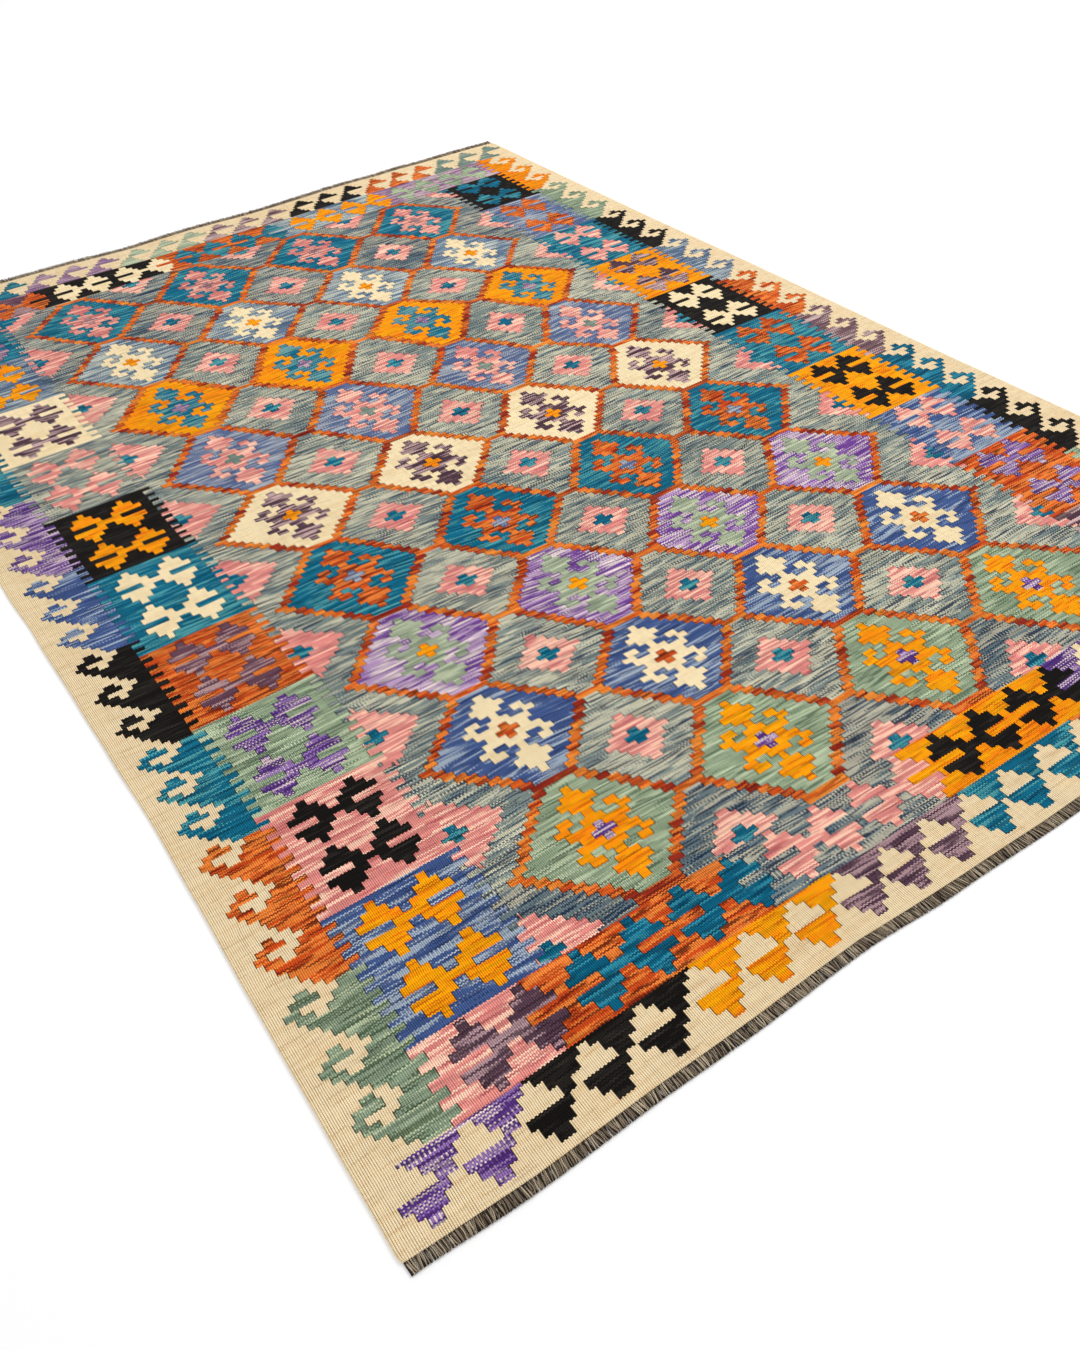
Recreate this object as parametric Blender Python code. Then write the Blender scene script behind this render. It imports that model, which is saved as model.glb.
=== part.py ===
"""A flat-woven kilim rug, 2.0 m wide and about 3 m long, with a short fringe at both ends.

The cloth lies flat.  Its length runs along Y, its two cut ends face -Y and +Y, and its underside is at
z = 0.  Each end has a fringe: a narrow strip of bound warps against the cloth, with locks of cut warp ends
standing out from it and resting on the floor.

The edges of a hand-woven rug wander by some millimetres, and this one leans out along its left side, so its
far end is about 45 mm wider than its near one.  Each edge has a short table of how far it strays from a
straight line, read off at the places where it bends.
"""

import math

import bmesh
import bpy
import numpy as np
from mathutils import Vector

# ---- Driving dimensions, in metres ----
RUG_WIDTH = 2.0
RUG_LENGTH = 2.97  # from the fringe tips at one end to those at the other
CLOTH_THICKNESS = 0.003
CORNER_RADIUS = 0.006
FRINGE_LENGTH = 0.019  # from the cloth's end to the tips
PIECE_GAP = 0.0003

STRIP_DEPTH = 0.004  # the bound roots, along the warps
STRIP_THICKNESS = 0.0022
LOCKS_PER_END = 145
LOCK_TO_PITCH = 0.72  # a lock's width at its root over the distance from lock to lock
TIP_TO_ROOT = 0.74  # a lock's width at its tip over that at its root
TIP_THICKNESS = 0.0015
LOCK_LEAN = 0.0034  # the most that a tip stands to one side of its root
LOCK_SHORTENING = 0.0018  # the most that a lock falls short of the tip line
LOCK_SEED = 14

SIDE_STEP = 0.045  # the distance between two points of a long edge
END_STEP = 0.015  # and of an end, fine enough for the fringe's strip to follow it without touching

# How far each edge strays outwards from its straight line: (distance along the edge, offset), in metres.
# The long edges are measured from the near end, the ends from the left edge.
LEFT_EDGE = (
    (0.00, 0.0030), (0.12, 0.0020), (0.28, 0.0005), (0.42, -0.0005), (0.62, -0.0038), (0.79, -0.0056),
    (0.97, -0.0018), (1.12, 0.0008), (1.34, 0.0052), (1.52, 0.0115), (2.08, 0.0240), (2.43, 0.0350),
    (2.97, 0.0450),
)
RIGHT_EDGE = (
    (0.00, 0.0000), (0.55, 0.0030), (1.10, -0.0010), (1.60, 0.0020), (2.15, -0.0005), (2.60, 0.0018),
    (2.97, 0.0040),
)
NEAR_END = (
    (0.00, -0.0024), (0.16, 0.0030), (0.37, -0.0012), (0.46, -0.0006), (0.69, -0.0058), (0.86, 0.0025),
    (1.10, 0.0080), (1.38, 0.0022), (1.62, -0.0024), (1.82, 0.0014), (2.00, 0.0000),
)
FAR_END = (
    (0.00, 0.0040), (0.20, 0.0060), (0.40, 0.0100), (0.60, 0.0045), (0.77, -0.0105), (0.96, 0.0005),
    (1.14, -0.0088), (1.46, 0.0066), (1.57, 0.0022), (1.64, 0.0065), (1.75, 0.0015), (1.86, 0.0048),
    (2.00, 0.0000),
)


def stray(table, along):
    """The offset of a wandering edge at one distance along it, easing smoothly between the table's rows."""
    places = [row[0] for row in table]
    offsets = [row[1] for row in table]
    row = int(np.clip(np.searchsorted(places, along) - 1, 0, len(places) - 2))
    share = np.clip((along - places[row]) / (places[row + 1] - places[row]), 0.0, 1.0)
    eased = 0.5 - 0.5 * math.cos(math.pi * share)
    return offsets[row] + (offsets[row + 1] - offsets[row]) * eased


def left_x(y):
    return -stray(LEFT_EDGE, y)


def right_x(y):
    return RUG_WIDTH + stray(RIGHT_EDGE, y)


def near_y(x):
    """The line of the fringe tips at the near end."""
    return -stray(NEAR_END, x)


def far_y(x):
    """The line of the fringe tips at the far end."""
    return RUG_LENGTH + stray(FAR_END, x)


def steps_between(start, end, step):
    """Evenly spaced distances from start to end, without the two ends."""
    return np.linspace(start, end, round(abs(end - start) / step) + 1)[1:-1]


def corner_arc(centre, start_angle):
    """A quarter circle of the corner radius, run clockwise."""
    return [
        (
            centre[0] + CORNER_RADIUS * math.cos(math.radians(start_angle - turn)),
            centre[1] + CORNER_RADIUS * math.sin(math.radians(start_angle - turn)),
        )
        for turn in (0, 30, 60, 90)
    ]


def cloth_outline():
    """The cloth's outline, clockwise from the near left corner, as points on the floor."""
    near = FRINGE_LENGTH
    far = RUG_LENGTH - FRINGE_LENGTH
    r = CORNER_RADIUS
    left_near = (left_x(near) + r, near_y(0.0) + near + r)
    left_far = (left_x(far) + r, far_y(0.0) - near - r)
    right_far = (right_x(far) - r, far_y(RUG_WIDTH) - near - r)
    right_near = (right_x(near) - r, near_y(RUG_WIDTH) + near + r)
    points = corner_arc(left_near, 270)
    points += [(left_x(y), y) for y in steps_between(left_near[1], left_far[1], SIDE_STEP)]
    points += corner_arc(left_far, 180)
    points += [(x, far_y(x) - near) for x in steps_between(left_far[0], right_far[0], END_STEP)]
    points += corner_arc(right_far, 90)
    points += [(right_x(y), y) for y in steps_between(right_far[1], right_near[1], SIDE_STEP)]
    points += corner_arc(right_near, 0)
    points += [(x, near_y(x) + near) for x in steps_between(right_near[0], left_near[0], END_STEP)]
    return points


def make_material(name, colour, roughness):
    material = bpy.data.materials.new(name)
    material.use_nodes = True
    shader = material.node_tree.nodes["Principled BSDF"]
    shader.inputs["Base Color"].default_value = (*colour, 1.0)
    shader.inputs["Roughness"].default_value = roughness
    shader.inputs["Metallic"].default_value = 0.0
    return material


def place(obj, collection, parent, material):
    obj.data.materials.append(material)
    obj.parent = parent
    collection.objects.link(obj)
    return obj


def make_cloth(collection, parent):
    """The woven cloth with its side selvedges: one flat outline, as thick as the weave."""
    curve = bpy.data.curves.new("kilim_cloth", "CURVE")
    curve.dimensions = "2D"
    curve.fill_mode = "BOTH"
    curve.extrude = CLOTH_THICKNESS / 2
    outline = cloth_outline()
    spline = curve.splines.new("POLY")
    spline.points.add(len(outline) - 1)
    for point, (x, y) in zip(spline.points, outline):
        point.co = (x, y, 0.0, 1.0)
    spline.use_cyclic_u = True
    cloth = bpy.data.objects.new("kilim_cloth", curve)
    cloth.location.z = CLOTH_THICKNESS / 2
    wool = make_material("wool weave", (0.62, 0.46, 0.27), 0.95)
    return place(cloth, collection, parent, wool)


def column_edges():
    """Where the strip is divided along its length: a gap, a lock, a gap, and so on to a last gap."""
    pitch = RUG_WIDTH / LOCKS_PER_END
    half_lock = pitch * LOCK_TO_PITCH / 2
    centres = (np.arange(LOCKS_PER_END) + 0.5) * pitch
    return np.concatenate(([0.0], np.stack((centres - half_lock, centres + half_lock), 1).ravel(), [RUG_WIDTH]))


def make_strip(tip_line, outwards):
    """The flat strip of bound roots, in a new bmesh, one cell for each lock and each gap.

    tip_line gives the y of the fringe tips at an x, and outwards is -1 at the near end and +1 at the far
    end.
    """
    columns = column_edges()
    mesh = bmesh.new()
    bmesh.ops.create_grid(mesh, x_segments=len(columns) - 1, y_segments=1, size=1.0)
    ends = (left_x(0.0), right_x(0.0)) if outwards < 0 else (left_x(RUG_LENGTH), right_x(RUG_LENGTH))
    for vertex in mesh.verts:
        column = round((vertex.co.x + 1.0) / 2.0 * (len(columns) - 1))
        x = np.interp(columns[column], (0.0, RUG_WIDTH), ends)
        from_cloth = PIECE_GAP + (STRIP_DEPTH if vertex.co.y * outwards > 0 else 0.0)
        cloth_end = tip_line(x) - outwards * FRINGE_LENGTH
        vertex.co = (x, cloth_end + outwards * from_cloth, 0.0)
    raised = bmesh.ops.extrude_face_region(mesh, geom=mesh.faces[:])
    bmesh.ops.translate(
        mesh,
        vec=(0.0, 0.0, STRIP_THICKNESS),
        verts=[part for part in raised["geom"] if isinstance(part, bmesh.types.BMVert)],
    )
    bmesh.ops.recalc_face_normals(mesh, faces=mesh.faces[:])
    return mesh


def grow_locks(mesh, tip_line, outwards, random):
    """Draws every second face of the strip's outer side out to the tip line, narrower and lower there."""
    side = [face for face in mesh.faces if face.normal.y * outwards > 0.9]
    side.sort(key=lambda face: face.calc_center_median().x)
    roots = side[1::2]
    tips = bmesh.ops.extrude_discrete_faces(mesh, faces=roots)["faces"]
    leans = random.uniform(-LOCK_LEAN, LOCK_LEAN, len(tips))
    shortenings = random.uniform(0.0, LOCK_SHORTENING, len(tips))
    last = len(tips) - 1
    leans[0] = abs(leans[0])
    leans[last] = -abs(leans[last])
    for tip, lean, shortening in zip(tips, leans, shortenings):
        middle = tip.calc_center_median()
        for vertex in tip.verts:
            vertex.co.x = middle.x + lean + (vertex.co.x - middle.x) * TIP_TO_ROOT
            vertex.co.y = tip_line(np.clip(middle.x, 0.0, RUG_WIDTH)) - outwards * shortening
            if vertex.co.z > STRIP_THICKNESS / 2:
                vertex.co.z = TIP_THICKNESS


def make_fringe(name, tip_line, outwards, collection, parent, material):
    """One end's fringe: a narrow strip with its locks, as one closed body lying on the floor."""
    mesh = make_strip(tip_line, outwards)
    grow_locks(mesh, tip_line, outwards, np.random.default_rng(LOCK_SEED + outwards))
    data = bpy.data.meshes.new(name)
    mesh.to_mesh(data)
    mesh.free()
    return place(bpy.data.objects.new(name, data), collection, parent, material)


def centre_on_floor(parent, objects):
    """Moves the parent so that the middle of the whole rug's outline stands over the origin."""
    bpy.context.view_layer.update()
    corners = np.array([obj.matrix_world @ Vector(corner) for obj in objects for corner in obj.bound_box])
    middle = (corners.min(axis=0) + corners.max(axis=0)) / 2
    parent.location = (-middle[0], -middle[1], 0.0)


def main():
    for obj in list(bpy.data.objects):
        bpy.data.objects.remove(obj, do_unlink=True)
    collection = bpy.data.collections.new("kilim_rug")
    bpy.context.scene.collection.children.link(collection)
    rug = bpy.data.objects.new("kilim_rug", None)
    collection.objects.link(rug)
    warps = make_material("wool and cotton warps", (0.33, 0.27, 0.20), 0.95)
    objects = [
        make_cloth(collection, rug),
        make_fringe("fringe_near", near_y, -1, collection, rug, warps),
        make_fringe("fringe_far", far_y, 1, collection, rug, warps),
    ]
    centre_on_floor(rug, objects)
    bpy.context.view_layer.update()


main()
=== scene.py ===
# %% [markdown]
# # A kilim rug, woven from a chart
#
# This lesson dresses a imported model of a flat-woven rug: one thin cloth with a short fringe at each end.
# The model gives the size and the outline. Everything that makes it a kilim is made here: the pattern, the
# wool and the warp ends. All lengths are in metres, and the rug lies on the floor at z = 0.

import bpy
import numpy as np
from mathutils import Matrix, Vector


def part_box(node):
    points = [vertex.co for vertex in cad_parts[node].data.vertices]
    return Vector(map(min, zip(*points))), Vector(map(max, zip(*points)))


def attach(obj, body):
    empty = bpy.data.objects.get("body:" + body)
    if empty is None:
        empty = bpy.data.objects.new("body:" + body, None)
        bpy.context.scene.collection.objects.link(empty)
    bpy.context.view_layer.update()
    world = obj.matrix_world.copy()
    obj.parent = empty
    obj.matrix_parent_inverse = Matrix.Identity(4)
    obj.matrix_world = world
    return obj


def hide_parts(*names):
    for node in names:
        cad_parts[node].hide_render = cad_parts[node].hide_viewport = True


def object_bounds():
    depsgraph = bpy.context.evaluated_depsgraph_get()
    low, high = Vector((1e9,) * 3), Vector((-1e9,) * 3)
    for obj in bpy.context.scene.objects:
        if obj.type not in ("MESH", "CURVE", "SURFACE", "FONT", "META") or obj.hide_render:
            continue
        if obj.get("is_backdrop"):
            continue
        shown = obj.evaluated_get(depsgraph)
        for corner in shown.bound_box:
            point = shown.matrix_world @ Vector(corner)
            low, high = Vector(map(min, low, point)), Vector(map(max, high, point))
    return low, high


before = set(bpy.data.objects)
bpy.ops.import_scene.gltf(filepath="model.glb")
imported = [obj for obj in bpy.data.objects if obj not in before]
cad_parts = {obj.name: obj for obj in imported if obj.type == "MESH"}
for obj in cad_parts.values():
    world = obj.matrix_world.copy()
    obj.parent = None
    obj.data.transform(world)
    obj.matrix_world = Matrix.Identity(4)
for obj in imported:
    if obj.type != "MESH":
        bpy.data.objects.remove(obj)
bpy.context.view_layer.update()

# %% [markdown]
# ## The loom: warps across, bands along
#
# A kilim is a weft-faced weave. Some 640 warps run from fringe to fringe, 3.1 mm apart, and the coloured
# wefts are beaten down over them until no warp shows. Each weft passes over one warp and under the next, so
# the face is made of small floats, one warp wide, and floats of neighbouring warps are staggered like
# bricks. Every shape is made of such floats, so it has steps: straight slits along the warps and tiny teeth
# along the wefts.
#
# The pattern could be one picture on a flat sheet, but a picture blurs from near by and can't be changed.
# Here it is charted as a weaver counts it: a table of whole numbers with a column for each warp and a row
# for each band of floats. A hundred bands make one row of medallions.

# %% The loom's numbers
RUG_WIDTH = 2.0
WARPS = 644                         # 32 to 10 cm
WARP_PITCH = RUG_WIDTH / WARPS      # 3.1 mm
FIRST_BAND, LAST_BAND = -88, 987    # band 0 is where the first row of medallions starts
BANDS = LAST_BAND - FIRST_BAND
REPEAT = 100                        # bands in one row of medallions
CLOTH_THICKNESS = 0.003
FRINGE_LENGTHS = (0.019, 0.026)     # near and far
hand = np.random.default_rng(2024)  # the weaver's hand: every slip and small unevenness is drawn from this
band_lines = np.arange(FIRST_BAND, LAST_BAND + 1)
warp_lines = np.arange(WARPS + 1)
print(WARPS, "warps,", BANDS, "bands,", WARPS * BANDS, "floats on each face")


# %% [markdown]
# ## Where each warp and band lies
#
# A loom for such a rug is simple, so its rows rise and sink by some millimetres and its sides wander. The
# chart stays regular, and two tables of places carry the unevenness: how far along the rug each band lies,
# and how far across it each warp lies. Between the rows of a small table of places read off, a value
# eases from one to the next, so the wefts bend as softly as real ones.


# %% Easing between the rows of a table
def eased(places, values, at):
    """Values between a table's rows: v0 + (v1 - v0) (1 - cos(pi t)) / 2, with t from 0 to 1 between rows."""
    places, values, at = (np.asarray(x, float) for x in (places, values, at))
    row = np.clip(np.searchsorted(places, at, side="right") - 1, 0, len(places) - 2)
    share = np.clip((at - places[row]) / (places[row + 1] - places[row]), 0, 1)
    share = 0.5 - 0.5 * np.cos(np.pi * share)
    share = share.reshape(share.shape + (1,) * (values.ndim - 1))
    return values[row] + (values[row + 1] - values[row]) * share


def stray_at(table, at):
    """How far an edge strays outwards at these distances along it, from a table of (distance, offset)."""
    places, offsets = zip(*table)
    return eased(places, offsets, at)


def span(values, unit):
    """The lowest and the highest value as text, in metres or millimetres."""
    shown = values * {"m": 1, "mm": 1000}[unit]
    return f"{shown.min():.2f} to {shown.max():.2f} {unit}"


# %% The outline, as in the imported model
LEFT_EDGE = (
    (0.00, 0.0030), (0.12, 0.0020), (0.28, 0.0005), (0.42, -0.0005), (0.62, -0.0038), (0.79, -0.0056),
    (0.97, -0.0018), (1.12, 0.0008), (1.34, 0.0052), (1.52, 0.0115), (2.08, 0.0240), (2.43, 0.0350),
    (2.97, 0.0450))
RIGHT_EDGE = (
    (0.00, 0.0000), (0.55, 0.0030), (1.10, -0.0010), (1.60, 0.0020), (2.15, -0.0005), (2.60, 0.0018),
    (2.97, 0.0040))
NEAR_END = (
    (0.00, -0.0024), (0.16, 0.0030), (0.37, -0.0012), (0.46, -0.0006), (0.69, -0.0058), (0.86, 0.0025),
    (1.10, 0.0080), (1.38, 0.0022), (1.62, -0.0024), (1.82, 0.0014), (2.00, 0.0000))
FAR_END = (
    (0.00, 0.0040), (0.20, 0.0060), (0.40, 0.0100), (0.60, 0.0045), (0.77, -0.0105), (0.96, 0.0005),
    (1.14, -0.0088), (1.46, 0.0066), (1.57, 0.0022), (1.64, 0.0065), (1.75, 0.0015), (1.86, 0.0048),
    (2.00, 0.0000))

# The loom's own corner, where warp 0 meets the line of the near fringe's tips, in the frame.
cloth_low, cloth_high = (Vector(corner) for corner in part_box("kilim_cloth"))
ORIGIN = np.array([
    cloth_high.x - RUG_WIDTH - max(offset for _, offset in RIGHT_EDGE),
    cloth_low.y - FRINGE_LENGTHS[0] + max(offset for _, offset in NEAR_END),
])
print("the loom's corner is at", ORIGIN.round(4))

# %% How far along each band lies
TO_METRES = 0.99  # places along the rug were read off on a scale of 3 m, and it is 2.97 m long
LEVEL_BANDS = np.array([FIRST_BAND, -47, *range(0, 901, 50), LAST_BAND])
LEVEL_PLACES = TO_METRES * np.array([
    0.0187, 0.1246, 0.246, 0.374, 0.505, 0.630, 0.756, 0.881, 1.017, 1.146, 1.284, 1.412, 1.550, 1.690, 1.845,
    1.985, 2.130, 2.272, 2.419, 2.575, 2.716, 2.974])
# and how many mm further it lies at the side tips, the four columns of medallions and the joints between them
LEVEL_WARPS = (50, 116, 173.5, 223.5, 273.5, 323.5, 373.5, 423.5, 473.5, 525)
LEVEL_STRAY = np.array([
    (-3, 1, 4, 4, -2, -5, -6, -6, -4, -2),
    (6, 6, 6, 3, 0, -4, -7, -7, -6, -6),
    (5, 5, 5, 0, -2, -5, -1, -2, -2, -2),
    (1, 1, 1, -2, -4, -2, 0, 0, 0, 0),
    (4, 4, 9, 0, -7, -5, -6, 0, 5, 5),
    (0, 0, 0, -7, -14, -7, 0, 6, 13, 13),
    (6, 6, 6, 7, -5, -6, -9, 2, 8, 18),
    (4, 4, 4, -2, -9, -9, -9, 2, 13, 14),
    (8, 8, 11, -4, -15, -15, -12, 8, 17, 19),
    (4, 4, 4, -3, -10, -9, -7, 4, 15, 16),
    (7, 7, 3, -3, -10, -9, -6, 5, 13, 24),
    (-5, -5, -7, -10, -13, -6, 1, 9, 18, 18),
    (-2, -2, 1, 0, -7, 7, -4, -1, 10, 18),
    (-3, -3, -3, -4, -5, -4, -3, 4, 11, 11),
    (-3, -3, -6, -8, 0, 18, 12, 18, -6, 1),
    (-2, -2, -2, 3, 9, 3, -2, -3, -5, -5),
    (4, 4, 5, 5, 4, 7, -3, -2, -7, -15),
    (6, 6, 8, 2, -3, -1, 0, -1, -3, -3),
    (18, 18, 4, -5, -2, 7, 1, -7, -2, -10),
    (8, 8, 8, 5, 3, 0, -2, -2, -2, -2),
]) / 1000

straight = np.interp(band_lines, LEVEL_BANDS, LEVEL_PLACES)
ends = [stray_at(table, warp_lines * WARP_PITCH)[None] for table in (NEAR_END, FAR_END)]
levels = np.concatenate([-ends[0], eased(LEVEL_WARPS, LEVEL_STRAY.T, warp_lines).T, ends[1]])
place_along = straight[:, None] + eased(LEVEL_BANDS, levels, band_lines)
print("the bands are", span(np.diff(place_along, axis=0), "mm"), "high")

# %% How far across each warp lies
SIDE_LEVELS = (FIRST_BAND, *range(50, 851, 100), LAST_BAND)
SIDE_WARPS = (0, 112, 173.5, 273.5, 373.5, 473.5, 541, 605, WARPS)
# in mm, at the four columns of medallions and at the two sides of the right squares
SIDE_STRAY = np.array([
    (0, 0, 0, 0, 0, 0),
    (0, -1, 1, 2.5, 0, 0),
    (1, -1, -6, 4.5, 0, 0),
    (-3, 0, -3, 1.5, 0, 0),
    (-4, -4, 0, 2.5, 0, 0),
    (-9, 0, 0, 5.5, 0, 0),
    (-15, -4, 0, 5.5, -2, -4),
    (-24, -17, 8, 11.5, -4, -6),
    (-34, -20, -7, 8.5, -4, -6),
    (-40, -25, -8, 8.5, -4, -6),
    (-42, -28, -8, 6, -2, -3),
]) / 1000
left_stray = -stray_at(LEFT_EDGE, straight)[:, None]
right_stray = stray_at(RIGHT_EDGE, straight)[:, None]
middle_stray = eased(SIDE_LEVELS, SIDE_STRAY, band_lines)
sides = np.concatenate([left_stray, left_stray, middle_stray, right_stray], axis=1)
place_across = warp_lines * WARP_PITCH + eased(SIDE_WARPS, sides.T, warp_lines).T
print("the cloth is", span(place_across[:, -1] - place_across[:, 0], "m"), "wide")


def band_at(place, warp):
    """The band at a place along the rug, read off on the scale of 3 m, at one warp."""
    return np.interp(np.asarray(place) * TO_METRES, place_along[:, int(warp)], band_lines)


def warp_at(place, band):
    """The warp at a place across the rug, in metres, at one band."""
    return np.interp(place, place_across[int(band) - FIRST_BAND], warp_lines)


# %% [markdown]
# ## The yarns
#
# The wool is hand-spun and dyed in small pots, so no yarn has one even colour. Each has a main dye, a
# second one that comes up in long soft streaks along the weft, and a third in thin lines of one or two
# wefts. Each yarn could have its own material, but then a weft couldn't cross from one to the next, so one
# wool material reads the yarn's number from the mesh, and this basket turns the number into dyes.

# %% The basket of yarns
# name: main dye, second dye, dye of the thin lines; then the share of the second, the lines' strength and
# frequency, and how much a streak breaks up into dots
YARNS = {
    "cream": ("#E9D2AA", "#E1C69B", "#C4A173", 0.35, 0.40, 0.10, 0.0),
    "white": ("#F6E1B6", "#EBD2A4", "#D0B588", 0.30, 0.30, 0.05, 0.0),
    "black": ("#151210", "#201D1A", "#3A342F", 0.30, 0.50, 0.20, 0.0),
    "orange": ("#FCA406", "#F48A08", "#CE500C", 0.34, 0.72, 0.45, 0.0),
    "deep orange": ("#F69404", "#EA7A06", "#C8540A", 0.34, 0.72, 0.45, 0.0),
    "rust": ("#F28438", "#C04618", "#5C160C", 0.42, 0.86, 0.68, 0.0),
    "bright rust": ("#F08E36", "#CC581C", "#842812", 0.40, 0.70, 0.50, 0.0),
    "dark red": ("#9A2E1C", "#C05A24", "#4E100E", 0.38, 0.60, 0.50, 0.0),
    "teal": ("#0C6886", "#489298", "#04344A", 0.36, 0.76, 0.50, 0.1),
    "deep teal": ("#085E7C", "#2A7E94", "#042E42", 0.33, 0.72, 0.45, 0.0),
    "pale teal": ("#14708A", "#6A9A9A", "#0E4A60", 0.40, 0.65, 0.40, 0.1),
    "blue": ("#435A8E", "#98A5B4", "#202E58", 0.38, 0.70, 0.40, 0.1),
    "slate blue": ("#5A6E8A", "#9EA8A8", "#2A3C5C", 0.40, 0.78, 0.50, 0.15),
    "periwinkle": ("#5C6C94", "#A2A8AE", "#334068", 0.43, 0.68, 0.40, 0.15),
    "sky blue": ("#687E96", "#B4BAB0", "#364C6C", 0.45, 0.72, 0.50, 0.15),
    "sage": ("#94A687", "#AEBA9A", "#445C46", 0.38, 0.78, 0.55, 0.1),
    "deep sage": ("#889A80", "#A4AF8F", "#40563A", 0.36, 0.78, 0.55, 0.1),
    "pale sage": ("#9EAA90", "#BAC2A2", "#5E725A", 0.40, 0.70, 0.40, 0.1),
    "pink": ("#E68F86", "#F2C0A8", "#BA545C", 0.42, 0.70, 0.40, 0.0),
    "deep pink": ("#D88078", "#ECB09C", "#AA4854", 0.42, 0.76, 0.40, 0.0),
    "old rose": ("#B88488", "#C89A94", "#4A3042", 0.40, 0.90, 0.80, 0.0),
    "aubergine": ("#563C48", "#C2A2A0", "#2C1C24", 0.43, 0.68, 0.40, 0.0),
    "plum": ("#583E4C", "#A6868C", "#2A1824", 0.40, 0.68, 0.40, 0.05),
    "mauve": ("#765860", "#B89E9A", "#40282E", 0.43, 0.70, 0.40, 0.1),
    "red violet": ("#6A4656", "#B08E8E", "#42243A", 0.42, 0.60, 0.35, 0.1),
    "violet": ("#55327E", "#8A68A4", "#DCC8C4", 0.38, 0.84, 0.80, 0.2),
    "purple": ("#744498", "#AE8EB6", "#E8DACE", 0.42, 0.88, 0.80, 0.15),
    "lilac": ("#94708E", "#C0A6AA", "#6A4880", 0.42, 0.84, 0.60, 0.15),
    "grey": ("#CDC9AF", "#76837F", "#22324A", 0.44, 0.90, 0.72, 0.2),
    "storm grey": ("#BAB6A2", "#617176", "#1A2A46", 0.46, 0.92, 0.74, 0.2),
    "grey teal": ("#74887C", "#94A090", "#3A585A", 0.38, 0.60, 0.40, 0.1),
}
YARN_NUMBER = {name: number for number, name in enumerate(YARNS)}


def linear(code):
    """An sRGB hex colour as linear red, green, blue and alpha.

    A share c up to 0.04045 becomes c / 12.92, and a higher one ((c + 0.055) / 1.055)^2.4.
    """
    c = np.array([int(code[i:i + 2], 16) / 255 for i in (1, 3, 5)])
    return (*np.where(c <= 0.04045, c / 12.92, ((c + 0.055) / 1.055) ** 2.4).tolist(), 1.0)


print(len(YARNS), "yarns; the cream reflects", [round(x, 2) for x in linear(YARNS["cream"][0])[:3]])

# %% [markdown]
# ## The chart
#
# The chart starts all cream. Colour areas go onto it as blocks of whole warps and bands, and later blocks
# cover earlier ones. Blocks that belong together share one area number, so no slit is drawn between them. A
# weaver who counts by eye is sometimes one warp out, and so is this chart.

# %% An empty chart and its tools
chart = np.zeros((BANDS, WARPS), np.int32)  # for each cell, the number of its area
area_yarns = []                             # for each area, the number of its yarn


def new_area(yarn):
    """Starts a colour area of a yarn and gives its number."""
    area_yarns.append(YARN_NUMBER[yarn])
    return len(area_yarns) - 1


def weave(area, low, high, left, right):
    """Fills the cells from one band line to another and from one warp line to another."""
    rows = np.clip(np.rint([low - FIRST_BAND, high - FIRST_BAND]), 0, BANDS).astype(int)
    columns = np.clip(np.floor([left + 0.5, right + 0.5]), 0, WARPS).astype(int)
    chart[rows[0]:rows[1], columns[0]:columns[1]] = area


def slip(most=1, often=0.22):
    """A miscount of up to so many warps, in a share of the cases."""
    return int(hand.integers(-most, most + 1)) if hand.random() < often else 0


def weave_steps(area, lines, middle, half_widths):
    """Stacks blocks of these half widths, centred on a warp, between one band line and the next."""
    for low, high, half in zip(lines, lines[1:], half_widths):
        if half:
            weave(area, low, high, middle - half + slip(), middle + half + slip())


def weave_cross(area, middle, centre, wide, tall, arm_wide, arm_high):
    """A cross: an upright block, tall and as wide as an arm, and a level one, wide and as high as an arm."""
    weave(area, centre - tall / 2, centre + tall / 2, middle - arm_wide / 2, middle + arm_wide / 2)
    weave(area, centre - arm_high / 2, centre + arm_high / 2, middle - wide / 2, middle + wide / 2)


cream_ground = new_area("cream")

# %% [markdown]
# ## The field: medallions in a lattice
#
# Nine rows of four hexagons stand in a lattice of rust-coloured lines. A line steps by three and a half
# warps for every five bands, and the weaver took a new end of yarn for each block of it, so its blocks
# change colour. Each hexagon has a hooked motif with a cross at its heart. Between the hexagons lie stepped
# lozenges.

# %% The field's ground and its lozenges
LEFT_COLUMN, FIELD, RIGHT_COLUMN = (47, 107), (107, 541), (541, 599)  # first and last warps
COLUMNS = (173.5, 273.5, 373.5, 473.5)          # the middle warps of the medallions
JOINTS = (223.5, 323.5, 423.5)                  # and of the places where their tips meet
SIDE_JOINTS = (115, 541)                        # the outer ones are half covered by the squares
LEVELS = range(0, 10 * REPEAT, REPEAT)          # the bands where one medallion ends and the next starts
ROW = 5                                         # bands in one step of the lattice
GROUND_ENDS = (-4, 907)                         # the bands where the field meets the end borders
GROUNDS = ("storm grey", *["grey"] * 7, "storm grey", "storm grey")
LOZENGE_MIDDLE = 0.5                            # in bands above a level
LOZENGE = (3, 7, 11, 15, 19, 15, 11, 7, 3)      # half widths, row by row
SIDE_LOZENGE, SIDE_ROW = (1, 5.5, 10, 14.5, 19, 23, 27, 23, 19, 14.5, 10, 5.5, 1), 4.8
SIDE_HEART, HEART_ROW = (5, 9, 13, 9, 5), 4.6


def stacked(centre, row, number):
    """The lines between so many rows of a height, with their middle at a band."""
    return centre + row * (np.arange(number + 1) - number / 2)


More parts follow.
